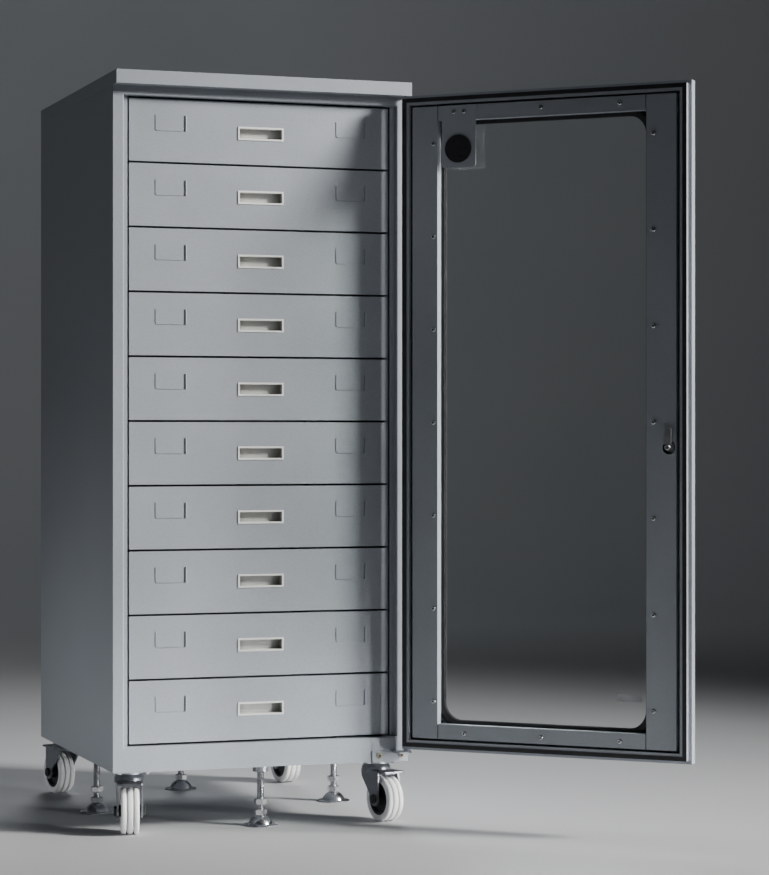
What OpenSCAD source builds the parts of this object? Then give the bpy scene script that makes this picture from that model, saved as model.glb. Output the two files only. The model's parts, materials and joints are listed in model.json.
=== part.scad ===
// Tall ten-drawer steel cabinet on braked swivel casters, with levelling feet and a
// glazed, lockable door. Millimetres, +Z up. The origin is on the floor under the
// centre of the body. The front faces -Y and the door hangs on the +X side.
// The door is drawn standing open at door_open degrees.

/* [Body] */
// Width across the side panels
body_w = 500; // [480:1:540]
// Depth from the front frame to the back panel
body_d = 548; // [540:1:600]
// Height of the body's underside above the floor
body_z = 101; // [101:1:101]
// Height of the body between its underside and the worktop
body_h = 1101.5; // [1101.5:0.5:1110]
// Thickness of the folded steel sheet
sheet = 1.5; // [1.5:0.1:1.5]

/* [Worktop] */
// Height of the worktop's skirt
top_t = 22; // [20:1:30]
// How far the worktop stands proud of the front frame
top_overhang = 24; // [24:1:40]

/* [Front frame] */
// Width of each stile
stile_w = 18.3; // [17:0.1:19]
// Height of the top rail
top_rail_h = 15.3; // [15:0.1:20]
// Height of the bottom rail
bottom_rail_h = 40.8; // [38:0.1:41]
// How deep the drawer fronts sit behind the frame's face
recess_d = 12.4; // [12:0.1:13]
// Clear width between the recessed lips
lip_gap_w = 447; // [446:0.5:448]

/* [Drawers] */
// Width of a drawer front
drawer_w = 441; // [436:1:442]
// Gap between two drawer fronts
drawer_gap = 3.5; // [2.5:0.1:4]
// Depth of a drawer's box behind its front
drawer_box_d = 483; // [440:1:490]
// Height of a drawer's box
drawer_box_h = 80; // [60:1:84]
// Width of the flush pull
pull_w = 78; // [60:1:100]
// Height of the flush pull
pull_h = 22; // [20:1:30]
// Depth of the pull's pocket
pull_pocket_d = 16.5; // [12:0.5:16.5]
// Width of a card holder
card_w = 52; // [40:1:60]
// Height of a card holder
card_h = 30; // [20:1:35]

/* [Door] */
// Angle at which the door is drawn, from closed
door_open = 136; // [0:1:180]
// Width of the door
door_w = 500; // [496:1:500]
// Height of the door
door_h = 1078.1; // [1070:0.1:1078.1]
// Depth of the door's outer tray
tray_d = 15.9; // [15:0.1:17]
// Depth of the inner rim beyond the tray, with its seal
rim_d = 10.4; // [10:0.1:11]
// How far the rim is set in from the tray's edge
rim_inset = 5.5; // [5:0.1:6]
// Width of the window between the glass retainers
window_w = 360; // [330:1:366]
// How far the window's middle sits from the door's, towards the hinge
window_x = 2.5; // [0:0.5:4]
// Height of the window between the glass retainers
window_h = 988.2; // [940:0.1:990]
// Corner radius of the window gasket
window_r = 29; // [20:1:40]
// Diameter of the gauge's flange
gauge_d = 46; // [40:1:48]

/* [Casters] */
// Diameter of the wheel
wheel_d = 75; // [75:1:75]
// Width of the tyre
wheel_w = 29; // [26:1:30]
// Distance between the swivel axis and the wheel's axle
trail = 28; // [26:1:30]
// Distance of the swivel axes from the centre, across
caster_x = 212; // [205:1:216]
// Distance of the front swivel axes from the centre
front_caster_y = 227; // [220:1:240]
// Distance of the rear swivel axes from the centre
rear_caster_y = 242; // [225:1:243]

/* [Levelling feet] */
// Diameter of the foot pad
pad_d = 58; // [50:1:64]
// Diameter of the threaded rod
rod_d = 12; // [12:1:12]

/* [Hidden] */
$fn = 64;
eps = 0.01;
running = 0.06;
drawer_count = 10;
corners = ["front_left", "front_right", "rear_left", "rear_right"];
feet = ["front", "left", "right", "rear"];

// Colours
coat = [0.62, 0.64, 0.67];
coat_shade = [0.50, 0.52, 0.55];
zinc = [0.72, 0.74, 0.78];
yellow_zinc = [0.80, 0.74, 0.50];
rubber = [0.06, 0.06, 0.07];
off_white = [0.90, 0.90, 0.87];
tyre_white = [0.93, 0.93, 0.92];
glass_tint = [0.70, 0.76, 0.78, 0.35];

// Body faces
half_w = body_w / 2;
front_y = -body_d / 2;
back_y = body_d / 2;
body_top = body_z + body_h;
top_z = body_top + top_t;
floor_t = 2;

// Front frame
opening_w = body_w - 2 * stile_w;
opening_z0 = body_z + bottom_rail_h;
opening_z1 = body_top - top_rail_h;
recess_y = front_y + recess_d;

// Drawers, counted from the top
drawer_end_gap = 3.2;
drawer_pitch = (opening_z1 - opening_z0 - 2 * drawer_end_gap + drawer_gap) / drawer_count;
drawer_h = drawer_pitch - drawer_gap;
front_pan_d = 18;
box_w = 424;
box_lift = 8;
box_y0 = recess_y + front_pan_d;
function drawer_z(n) = opening_z1 - drawer_end_gap - drawer_h - (n - 1) * drawer_pitch;

// Runners: a bar on the drawer slides in a channel fixed to the uprights
bar_h = 12;
bar_reach = 10.5;
bar_y0 = front_y + 39;
bar_len = 440;
channel_gap = 0.7;
channel_len = 460;
channel_y0 = front_y + 34;
channel_w = 9.7;
channel_x = box_w / 2 + bar_reach + channel_gap;
seat_gap = 0.02;
upright_x = channel_x + sheet + seat_gap;
upright_w = 20;

// Pull and card holder
pull_proud = 1.5;
pull_border = 3;
pull_wall = 1.2;
pull_fit = 0.2;
card_x = 153.5;
card_drop = 22;
card_slot = 2.6;
card_base_slot = 1.2;
card_slot_d = 1.1;
card_ridge_r = 1.3;

// Door, closed: faces from outside to inside
door_gap = 1.5;
seal_t = 1.2;
seal_w = 6.8;
rim_w = 11.5;
rim_return = 8;
seal_y = front_y - door_gap;
rim_y = seal_y - seal_t;
ledge_y = seal_y - rim_d;
outer_y = ledge_y - tray_d;
door_z = body_z + 22.3;
door_mid_z = door_z + door_h / 2;

// Door pivot
pivot_x = half_w - 6.5;
pivot_y = front_y - 19.5;
pin_r = 2.8;
bush_w = 13;
bush_h = 16;

// Glass, gasket and retainers
glass_t = 4;
gasket_show = 6;
gasket_w = 9;
gasket_lip = 6;
gasket_lip_t = 2;
gasket_proud = 1.5;
glass_y0 = outer_y + 2.2;
glass_y1 = glass_y0 + glass_t;
gasket_y1 = glass_y1 + 2;
retainer_y = front_y - 3.5;
retainer_reach = 227;
retainer_h = 24.1;
retainer_gap = 1.5;

// Door screws
side_screw_x = 189.5;
side_screw_pitch = 152.4;
end_screw_x = 134;
end_screw_mid = 1;
end_screw_in = 13.5;
screw_head_r = 4;
screw_head_h = 2.4;
screw_r = 2.4;

// Gauge
bracket_w = 60;
bracket_h = 102;
bracket_x = 144;
bracket_top = door_mid_z + window_h / 2 + retainer_h;
bracket_screw_x = 18;
gauge_x = 144.5;
gauge_z = bracket_top - 71;
gauge_body_r = 19.8;

// Lock
lock_x = -half_w + 35;
lock_z = 622.5;
lock_hole_r = 11;
barrel_r = 9.4;
spindle_r = 3.2;
cam_len = 32;
cam_w = 12;
cam_t = 2.5;
cam_hub_y = retainer_y - 9.3;
cam_bar_y = front_y + sheet + 0.6;
cam_riser_z0 = 4.5;

// Casters
caster_turn = [-12, 12, 192, 189];
caster_pos = [[-caster_x, -front_caster_y], [caster_x, -front_caster_y],
    [-caster_x, rear_caster_y], [caster_x, rear_caster_y]];
plate_w = 60;
plate_t = 3;
bolt_off = 23;
boss_r = 22;
boss_h = 4;
kingpin_r = 5;
wheel_r = wheel_d / 2;
core_r = 27;
axle_r = 4;
leg_in = 18.5;
leg_t = 2.5;
crown_z = 80;
crown_t = 4;
pedal_y = -31;
pedal_z = 81.2;
pedal_pin_r = 2;
pedal_len = 26;
pedal_w = 42;

// Levelling feet
foot_pos = [[8, -234], [-212, 0], [212, 0], [0, 240]];
rod_r = rod_d / 2;
dome_r = 21.4;
dome_drop = 3.8;
dome_top = 17.4;
boss_d = 26;
boss_z = 89;
rod_top = 114;
hex_af = 19;

// ---------- helpers ----------

// Box between two corners
module box(lo, hi) {
    translate(lo)
        cube(hi - lo);
}

// A flat outline drawn in X and Z, made thick from y0 to y1
module slab(y0, y1) {
    translate([0, y1, 0])
        rotate([90, 0, 0])
            linear_extrude(y1 - y0)
                children();
}

// Rectangle with round corners, centred
module round_rect(w, h, r) {
    square([w - 2 * r, h], center = true);
    square([w, h - 2 * r], center = true);
    for (sx = [-1, 1], sz = [-1, 1])
        translate([sx * (w / 2 - r), sz * (h / 2 - r)])
            circle(r);
}

// Ring of width t just inside a w by h rectangle, centred
module ring(w, h, t) {
    difference() {
        square([w, h], center = true);
        square([w - 2 * t, h - 2 * t], center = true);
    }
}

// Ring between two round-cornered rectangles
module round_ring(w, h, r, t) {
    difference() {
        round_rect(w, h, r);
        round_rect(w - 2 * t, h - 2 * t, r - t);
    }
}

// Cylinder along Y from y0 to y1, at x and z
module rod_y(x, z, r, y0, y1) {
    translate([x, y1, z])
        rotate([90, 0, 0])
            cylinder(r = r, h = y1 - y0);
}

// Cylinder along X from x0 to x1, at y and z
module rod_x(y, z, r, x0, x1) {
    translate([x0, y, z])
        rotate([0, 90, 0])
            cylinder(r = r, h = x1 - x0);
}

// Hexagonal prism across flats af
module hex(af, h) {
    cylinder(d = af / cos(30), h = h, $fn = 6);
}

// Places the closed door's pieces at their open angle
module hang_door() {
    translate([pivot_x, pivot_y, 0])
        rotate([0, 0, door_open])
            translate([-pivot_x, -pivot_y, 0])
                children();
}

// Door outlines are centred on the door
module door_slab(y0, y1) {
    translate([0, 0, door_mid_z])
        slab(y0, y1)
            children();
}

// Window outlines are centred on the window
module window_slab(y0, y1) {
    translate([window_x, 0, door_mid_z])
        slab(y0, y1)
            children();
}

module at_caster(i) {
    translate([caster_pos[i][0], caster_pos[i][1], 0])
        rotate([0, 0, caster_turn[i]])
            children();
}

// ---------- body ----------

module worktop() {
    y0 = front_y - top_overhang;
    color(coat)
        difference() {
            box([-half_w, y0, body_top], [half_w, back_y, top_z]);
            box([-half_w + sheet, y0 + sheet, body_top + sheet],
                [half_w - sheet, back_y - sheet, top_z - sheet]);
            box([-half_w + sheet, front_y + sheet, body_top - 1],
                [half_w - sheet, back_y - sheet, body_top + 2 * sheet]);
            translate([pivot_x, pivot_y, body_top - 1])
                cylinder(r = pin_r + 0.1, h = 4);
        }
}

// Side sheet with its top and bottom edges folded in
module side_panel(s) {
    fold = 16;
    y0 = front_y + sheet;
    color(coat_shade)
        mirror([s < 0 ? 1 : 0, 0, 0]) {
            box([half_w - sheet, y0, body_z], [half_w, back_y, body_top]);
            box([half_w - fold, y0, body_top - sheet], [half_w, back_y - sheet, body_top]);
        }
}

module left_side_panel() {
    side_panel(-1);
}

module right_side_panel() {
    side_panel(1);
}

module back_panel() {
    hem = 12;
    x1 = half_w - sheet;
    color(coat_shade) {
        box([-x1, back_y - sheet, body_z], [x1, back_y, body_top]);
        box([-x1 + 16, back_y - hem, body_top - 2 * sheet],
            [x1 - 16, back_y - sheet, body_top - sheet]);
    }
}

module front_frame() {
    mid_z = (opening_z0 + opening_z1) / 2;
    opening_h = opening_z1 - opening_z0;
    slot_h = cam_len + 10;
    color(coat)
        difference() {
            union() {
                slab(front_y, front_y + sheet)
                    difference() {
                        translate([-half_w, body_z])
                            square([body_w, body_h]);
                        translate([0, mid_z])
                            square([opening_w, opening_h], center = true);
                    }
                translate([0, 0, mid_z])
                    slab(front_y, recess_y + sheet)
                        ring(opening_w + 2 * sheet, opening_h + 2 * sheet, sheet);
                for (s = [-1, 1])
                    box([s > 0 ? lip_gap_w / 2 : -opening_w / 2, recess_y, opening_z0],
                        [s > 0 ? opening_w / 2 : -lip_gap_w / 2, recess_y + sheet, opening_z1]);
            }
            // The lock's cam turns in behind the left stile through this slot
            box([-opening_w / 2 - sheet - 1, front_y + sheet, lock_z - 8],
                [-opening_w / 2 + 1, front_y + sheet + 5, lock_z - 8 + slot_h]);
            for (x = hinge_screw_x)
                rod_y(x, hinge_screw_z, 2.6, front_y - 1, front_y + sheet + 1);
        }
}

module base_pan() {
    x1 = half_w - sheet;
    color(coat_shade)
        difference() {
            union() {
                box([-x1, front_y + sheet, body_z], [x1, back_y - sheet, body_z + floor_t]);
                for (s = [-1, 1])
                    box([s > 0 ? x1 - sheet : -x1, front_y + sheet, body_z],
                        [s > 0 ? x1 : -x1 + sheet, back_y - sheet, body_z + 25]);
            }
            for (p = foot_pos)
                translate([p[0], p[1], body_z - 1])
                    cylinder(r = rod_r + 0.5, h = 6);
            for (i = [0:3])
                caster_holes(i);
        }
}

module caster_holes(i) {
    translate([caster_pos[i][0], caster_pos[i][1], body_z - 10]) {
        for (sx = [-1, 1], sy = [-1, 1])
            translate([sx * bolt_off, sy * bolt_off, 0])
                cylinder(r = 4.2, h = 20);
        cylinder(r = kingpin_r + 1, h = 20);
    }
}

// Four C-shaped uprights carry a channel on each side of every drawer
module fixed_runners() {
    wall = half_w - 2 * sheet;
    z0 = body_z + floor_t;
    color(zinc)
        for (s = [0, 1])
            mirror([s, 0, 0]) {
                for (y = [channel_y0 + 6, channel_y0 + channel_len - upright_w - 10])
                    difference() {
                        box([upright_x, y, z0], [wall, y + upright_w, opening_z1]);
                        box([upright_x + sheet, y + sheet, z0 - 1],
                            [wall + 1, y + upright_w - sheet, opening_z1 + 1]);
                    }
                for (n = [1:drawer_count])
                    channel(drawer_z(n) + box_lift + drawer_box_h / 2);
            }
}

module channel(z) {
    h = bar_h + 2 * channel_gap;
    translate([0, channel_y0, z])
        difference() {
            box([upright_x - channel_w, 0, -h / 2 - sheet],
                [upright_x - seat_gap, channel_len, h / 2 + sheet]);
            box([upright_x - channel_w - 1, -1, -h / 2],
                [channel_x, channel_len + 1, h / 2]);
        }
}

hinge_plate_x = half_w - 62;
hinge_plate_h = 18;
hinge_plate_t = 3;
hinge_screw_x = [half_w - 50, half_w - 11.6];
hinge_screw_z = body_z + 10.5;

// The lower plate carries the door on a washer; the upper one hides in the worktop
module hinge_plates() {
    leaf_z = body_z + hinge_plate_h - hinge_plate_t;
    leaf_x = half_w - 26;
    leaf_y = pivot_y - 8;
    leaf_r = 5;
    upper_z = body_top + sheet;
    color(coat) {
        difference() {
            union() {
                box([hinge_plate_x, front_y - hinge_plate_t, body_z],
                    [half_w, front_y, body_z + hinge_plate_h]);
                box([leaf_x, leaf_y + leaf_r, leaf_z],
                    [half_w, front_y - eps, leaf_z + hinge_plate_t]);
                box([leaf_x + leaf_r, leaf_y, leaf_z],
                    [half_w - leaf_r, leaf_y + leaf_r, leaf_z + hinge_plate_t]);
                for (x = [leaf_x + leaf_r, half_w - leaf_r])
                    translate([x, leaf_y + leaf_r, leaf_z])
                        cylinder(r = leaf_r, h = hinge_plate_t);
            }
            for (x = hinge_screw_x)
                rod_y(x, hinge_screw_z, 2.6, front_y - 5, front_y + 1);
        }
        translate([pivot_x, pivot_y, leaf_z + hinge_plate_t])
            cylinder(r = 6.4, h = door_z - leaf_z - hinge_plate_t - 0.3);
        translate([pivot_x, pivot_y, leaf_z + hinge_plate_t])
            cylinder(r = pin_r, h = 18);
        box([half_w - 40, front_y - top_overhang + sheet + 0.2, upper_z],
            [half_w - 2 * sheet, front_y + 20, upper_z + hinge_plate_t]);
        translate([pivot_x, pivot_y, upper_z - 16])
            cylinder(r = pin_r, h = 16 + hinge_plate_t);
    }
}

module caster_plates() {
    z0 = body_z - plate_t;
    color(zinc)
        for (p = caster_pos)
            translate([p[0], p[1], z0])
                difference() {
                    union() {
                        linear_extrude(plate_t)
                            round_rect(plate_w, plate_w, 4);
                        translate([0, 0, -boss_h])
                            cylinder(r = boss_r, h = boss_h);
                    }
                    for (sx = [-1, 1], sy = [-1, 1])
                        translate([sx * bolt_off, sy * bolt_off, -1])
                            cylinder(r = 4.2, h = 6);
                    translate([0, 0, -boss_h - 1])
                        cylinder(r = kingpin_r + running, h = 10);
                }
}

// Caster bolts and nuts, rod nuts and the lower hinge's screws
module body_fasteners() {
    pan_z = body_z + floor_t;
    color(zinc) {
        for (p = caster_pos, sx = [-1, 1], sy = [-1, 1])
            translate([p[0] + sx * bolt_off, p[1] + sy * bolt_off, 0]) {
                translate([0, 0, body_z - plate_t - 2.6])
                    cylinder(r = 5.2, h = 2.6);
                translate([0, 0, body_z - plate_t - eps])
                    cylinder(r = 3.9, h = plate_t + floor_t + 9);
                translate([0, 0, pan_z])
                    difference() {
                        hex(13, 6);
                        translate([0, 0, -1])
                            cylinder(r = 3.95, h = 8);
                    }
            }
        for (p = foot_pos)
            translate([p[0], p[1], 0])
                difference() {
                    union() {
                        translate([0, 0, boss_z])
                            cylinder(d = boss_d, h = body_z - boss_z);
                        translate([0, 0, pan_z])
                            hex(hex_af, 7);
                    }
                    translate([0, 0, boss_z - 1])
                        cylinder(r = rod_r + running, h = 24);
                }
    }
    color(yellow_zinc)
        for (x = hinge_screw_x) {
            difference() {
                rod_y(x, hinge_screw_z, 4.3, front_y - hinge_plate_t - 2.8, front_y - hinge_plate_t);
                translate([x, front_y - hinge_plate_t - 3, hinge_screw_z])
                    rotate([-90, 0, 0])
                        hex(3, 2);
            }
            rod_y(x, hinge_screw_z, 2.45, front_y - hinge_plate_t - eps, front_y + 6);
        }
}

// ---------- door ----------

module door_shell() {
    rim_ow = door_w - 2 * rim_inset;
    rim_oh = door_h - 2 * rim_inset;
    skin_w = window_w + 6;
    skin_h = window_h + 6;
    color(coat)
        hang_door()
            difference() {
                union() {
                    door_slab(outer_y, outer_y + sheet)
                        difference() {
                            square([door_w, door_h], center = true);
                            translate([window_x, 0])
                                round_rect(skin_w, skin_h, window_r + 9);
                        }
                    door_slab(outer_y, ledge_y)
                        ring(door_w, door_h, sheet);
                    door_slab(ledge_y - sheet, ledge_y)
                        ring(door_w, door_h, rim_inset + sheet);
                    door_slab(ledge_y - sheet, rim_y)
                        ring(rim_ow, rim_oh, sheet);
                    door_slab(rim_y - sheet, rim_y)
                        ring(rim_ow, rim_oh, rim_w);
                    door_slab(rim_y - rim_return, rim_y)
                        ring(rim_ow - 2 * (rim_w - sheet), rim_oh - 2 * (rim_w - sheet), sheet);
                    for (z = [door_z + sheet, door_z + door_h - sheet - bush_h])
                        box([pivot_x - bush_w / 2 - 1, outer_y + sheet, z],
                            [half_w - sheet, ledge_y - sheet, z + bush_h]);
                }
                for (z = [door_z - 1, door_z + door_h - 20])
                    translate([pivot_x, pivot_y, z])
                        cylinder(r = pin_r + running, h = 21);
                rod_y(lock_x, lock_z, barrel_r + 0.1, outer_y - 1, outer_y + sheet + 1);
            }
}

module door_seal() {
    color(rubber)
        hang_door()
            door_slab(rim_y, seal_y)
                ring(door_w - 2 * rim_inset, door_h - 2 * rim_inset, seal_w);
}

module door_glass() {
    w = window_w - 2 * gasket_show + 2 * (gasket_w - 4);
    h = window_h - 2 * gasket_show + 2 * (gasket_w - 4);
    color(glass_tint)
        hang_door()
            window_slab(glass_y0, glass_y1)
                round_rect(w, h, window_r + gasket_w - 4);
}

// H-section rubber: grips the skin outside and the glass inside
module glass_gasket() {
    w0 = window_w - 2 * gasket_show;
    h0 = window_h - 2 * gasket_show;
    w1 = w0 + 2 * gasket_w;
    h1 = h0 + 2 * gasket_w;
    r1 = window_r + gasket_w;
    color(rubber)
        hang_door() {
            window_slab(outer_y - gasket_proud, glass_y0)
                round_ring(w1, h1, r1, gasket_w);
            window_slab(glass_y0, glass_y1)
                round_ring(w1, h1, r1, 4);
            window_slab(glass_y1, gasket_y1)
                round_ring(w1, h1, r1, gasket_w);
            window_slab(outer_y - gasket_proud, outer_y)
                round_ring(w1 + 2 * gasket_lip, h1 + 2 * gasket_lip, r1 + gasket_lip, gasket_lip);
            window_slab(outer_y + sheet, outer_y + sheet + gasket_lip_t)
                round_ring(w1 + 2 * gasket_lip, h1 + 2 * gasket_lip, r1 + gasket_lip, gasket_lip);
        }
}

// Screw places on the door: x and z
side_screws = [for (s = [-1, 1], k = [-3:3])
    [s * side_screw_x, door_mid_z + k * side_screw_pitch]];
end_screws = [for (s = [-1, 1], k = [-1:1])
    [end_screw_mid + k * end_screw_x, door_mid_z + s * (window_h / 2 + end_screw_in)]];
gauge_screw = [end_screw_mid + end_screw_x + bracket_screw_x,
    door_mid_z + window_h / 2 + end_screw_in];
door_screw_places = concat(side_screws, end_screws, [gauge_screw]);

// Folded channels that press the gasket onto the glass
module glass_retainers() {
    x1 = retainer_reach;
    z0 = window_h / 2;
    z1 = z0 + retainer_h;
    end_x = window_w / 2 - retainer_gap;
    web_y = retainer_y - sheet;
    foot_y = outer_y + sheet;
    color(coat_shade)
        hang_door()
            difference() {
                union() {
                    for (s = [-1, 1])
                        mirror([s < 0 ? 1 : 0, 0, 0])
                            translate([0, 0, door_mid_z]) {
                                x0 = window_w / 2 + s * window_x;
                                box([x0, web_y, -z1], [x1, retainer_y, z1]);
                                box([x0, gasket_y1, -z1], [x0 + sheet, retainer_y, z1]);
                                box([x1 - sheet, foot_y, -z1], [x1, retainer_y, z1]);
                            }
                    translate([window_x, 0, door_mid_z])
                        for (s = [0, 1])
                            mirror([0, 0, s]) {
                                box([-end_x, web_y, z0], [end_x, retainer_y, z1]);
                                box([-end_x, gasket_y1, z0], [end_x, retainer_y, z0 + sheet]);
                                box([-end_x, foot_y, z1 - sheet], [end_x, retainer_y, z1]);
                            }
                }
                rod_y(lock_x, lock_z, lock_hole_r, web_y - 1, retainer_y + 1);
                for (p = door_screw_places)
                    rod_y(p[0], p[1], screw_r + 0.1, web_y - 1, retainer_y + 1);
            }
}

module door_screws() {
    color(zinc)
        hang_door()
            for (p = door_screw_places) {
                lift = p[1] > door_mid_z + window_h / 2 && p[0] > 100 ? sheet : 0;
                rod_y(p[0], p[1], screw_r, retainer_y - 9, retainer_y + lift + eps);
                rod_y(p[0], p[1], screw_head_r, retainer_y + lift, retainer_y + lift + screw_head_h);
            }
}

module gauge_bracket() {
    r = 6;
    color(coat_shade)
        hang_door()
            difference() {
                slab(retainer_y, retainer_y + sheet)
                    translate([bracket_x, bracket_top - bracket_h / 2])
                        difference() {
                            union() {
                                round_rect(bracket_w, bracket_h, r);
                                translate([-bracket_w / 2, 0])
                                    square([bracket_w, bracket_h / 2]);
                            }
                            translate([gauge_x - bracket_x, gauge_z - bracket_top + bracket_h / 2])
                                circle(gauge_body_r + 0.1);
                        }
                for (x = [end_screw_mid + end_screw_x, gauge_screw[0]])
                    rod_y(x, gauge_screw[1], screw_r + 0.1, retainer_y - 1, retainer_y + sheet + 1);
            }
}

// Round dial that reads from outside through the glass
module gauge() {
    flange_y = retainer_y + sheet;
    face_y = glass_y1 + 1;
    color(rubber)
        hang_door()
            difference() {
                union() {
                    rod_y(gauge_x, gauge_z, gauge_body_r, face_y, flange_y + eps);
                    rod_y(gauge_x, gauge_z, gauge_d / 2, flange_y, flange_y + 2.5);
                    rod_y(gauge_x, gauge_z, gauge_d / 2, face_y, face_y + 4);
                }
                rod_y(gauge_x, gauge_z, gauge_d / 2 - 3, face_y - 1, face_y + 1);
                for (a = [30:60:330])
                    rod_y(gauge_x + 14 * sin(a), gauge_z + 14 * cos(a), 1.2,
                        flange_y + 1, flange_y + 3);
            }
}

module lock_barrel() {
    color(zinc)
        hang_door() {
            difference() {
                union() {
                    rod_y(lock_x, lock_z, 11.5, outer_y - 2.2, outer_y);
                    rod_y(lock_x, lock_z, barrel_r, outer_y - eps, cam_hub_y - 0.2);
                }
                box([lock_x - 1, outer_y - 3, lock_z - 4], [lock_x + 1, outer_y + 2, lock_z + 4]);
            }
            difference() {
                translate([lock_x, outer_y + sheet, lock_z])
                    rotate([-90, 30, 0])
                        hex(20.6, 4);
                rod_y(lock_x, lock_z, barrel_r, outer_y, outer_y + 8);
            }
            rod_y(lock_x, lock_z, spindle_r, cam_hub_y - 1, cam_hub_y + cam_t - 0.1);
        }
}

// Cranked cam: the bar stands proud of the door's rim so that it can hook the stile
module lock_cam() {
    y1 = cam_bar_y + cam_t;
    color(coat_shade)
        hang_door()
            translate([lock_x, 0, lock_z]) {
                difference() {
                    union() {
                        rod_y(0, 0, 6.6, cam_hub_y, cam_hub_y + cam_t);
                        box([-5.5, cam_hub_y, 0], [5.5, cam_hub_y + cam_t, cam_riser_z0 + cam_t]);
                        box([-5.5, cam_hub_y, cam_riser_z0], [5.5, y1, cam_riser_z0 + cam_t]);
                        box([-cam_w / 2, cam_bar_y, cam_riser_z0],
                            [cam_w / 2, y1, cam_len - cam_w / 2]);
                        rod_y(0, cam_len - cam_w / 2, cam_w / 2, cam_bar_y, y1);
                    }
                    rod_y(0, 0, spindle_r + running, cam_hub_y - 1, cam_hub_y + cam_t + 1);
                }
                rod_y(0, 0, 4.2, cam_hub_y + cam_t, cam_hub_y + cam_t + 2.4);
            }
}

// ---------- drawers ----------

// U-shaped groove pressed round three sides of a card's place, open at the top
module card_groove(x, z_top) {
    r = 4;
    translate([x, 0, z_top - card_h / 2])
        slab(recess_y - 1, recess_y + card_slot_d)
            difference() {
                round_rect(card_w, card_h, r);
                translate([0, card_base_slot])
                    round_rect(card_w - 2 * card_slot, card_h, r - 1);
                translate([-card_w / 2 - 1, card_h / 2 - r])
                    square([card_w + 2, r + 1]);
            }
}

// Rolled ridge at the side where a card slides in
module card_ridge(x, z_top) {
    translate([x + card_w / 2 + card_ridge_r, recess_y, z_top - card_h + 1])
        cylinder(r = card_ridge_r, h = card_h - 5);
}

module drawer(n) {
    z0 = drawer_z(n);
    z1 = z0 + drawer_h;
    mid = (z0 + z1) / 2;
    bz0 = z0 + box_lift;
    bz1 = bz0 + drawer_box_h;
    bw = box_w / 2;
    y1 = box_y0 + drawer_box_d;
    bar_z = (bz0 + bz1) / 2;
    color(coat) {
        difference() {
            union() {
                box([-drawer_w / 2, recess_y, z0], [drawer_w / 2, box_y0, z1]);
                box([-bw, box_y0 - eps, bz0], [bw, y1, bz1]);
            }
            box([-drawer_w / 2 + sheet, recess_y + sheet, z0 + sheet],
                [drawer_w / 2 - sheet, box_y0 - sheet, z1 - sheet]);
            box([-bw + sheet, box_y0 + sheet, bz0 + sheet],
                [bw - sheet, y1 - sheet, bz1 + 1]);
            box([-pull_w / 2 + 2, recess_y - 1, mid - pull_h / 2 + 2],
                [pull_w / 2 - 2, recess_y + sheet + 1, mid + pull_h / 2 - 2]);
            for (x = [-card_x, card_x])
                card_groove(x, z1 - card_drop);
        }
        for (x = [-card_x, card_x])
            card_ridge(x, z1 - card_drop);
        for (s = [-1, 1])
            box([s > 0 ? bw - eps : -bw - bar_reach, bar_y0, bar_z - bar_h / 2],
                [s > 0 ? bw + bar_reach : -bw + eps, bar_y0 + bar_len, bar_z + bar_h / 2]);
    }
}

// Moulded cup with a raised border, pushed into the drawer front
module pull(n) {
    mid = drawer_z(n) + drawer_h / 2;
    y0 = recess_y - pull_proud;
    y1 = y0 + pull_pocket_d;
    cup_w = pull_w - 4 - 2 * pull_fit;
    cup_h = pull_h - 4 - 2 * pull_fit;
    in_w = pull_w - 2 * pull_border;
    in_h = pull_h - 2 * pull_border;
    color(off_white)
        translate([0, 0, mid])
            difference() {
                union() {
                    slab(y0, recess_y)
                        round_rect(pull_w, pull_h, 1);
                    slab(recess_y - eps, y1)
                        square([cup_w, cup_h], center = true);
                }
                slab(y0 - 1, y1 - pull_wall)
                    square([in_w, in_h], center = true);
            }
}

// ---------- casters ----------

module fork(i) {
    axle_z = wheel_r;
    leg_out = leg_in + leg_t;
    dome_h = body_z - plate_t - boss_h - crown_z - crown_t;
    color(zinc)
        at_caster(i) {
            difference() {
                union() {
                    translate([0, 0, crown_z + crown_t - eps])
                        rotate_extrude()
                            polygon([[0, 0], [24, 0], [24, dome_h * 0.45],
                                [20, dome_h - 0.4], [0, dome_h - 0.4]]);
                    box([-leg_out, -26, crown_z], [leg_out, 12, crown_z + crown_t]);
                    translate([0, 0, crown_z])
                        cylinder(r = 24, h = crown_t);
                    for (s = [-1, 1])
                        translate([s > 0 ? leg_in : -leg_out, 0, 0])
                            rotate([90, 0, 90])
                                linear_extrude(leg_t)
                                    fork_leg();
                }
                for (s = [-1, 1])
                    rod_x(-trail, axle_z, axle_r + running, s * 19.75 - 3, s * 19.75 + 3);
            }
            translate([0, 0, crown_z])
                cylinder(r = kingpin_r, h = body_z - crown_z - 0.5);
            rod_x(-trail, axle_z, axle_r, -leg_out - 3, leg_out + 3);
            for (x = [-leg_out - 4, leg_out])
                translate([x, -trail, axle_z])
                    rotate([0, 90, 0])
                        hex(13, 4);
            rod_x(pedal_y, pedal_z, pedal_pin_r, -leg_in - 1, leg_in + 1);
        }
}

// Leg outline: Y to the right, Z up
module fork_leg() {
    top = crown_z + crown_t;
    polygon([[14, top], [-40, top], [-40, top - 10], [-trail - 11.5, wheel_r + 3],
        [-trail - 7, wheel_r - 9.5], [-trail + 7, wheel_r - 9.5], [-trail + 11.5, wheel_r + 3],
        [12, top - 12]]);
    translate([-trail, wheel_r])
        circle(12);
}

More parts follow.
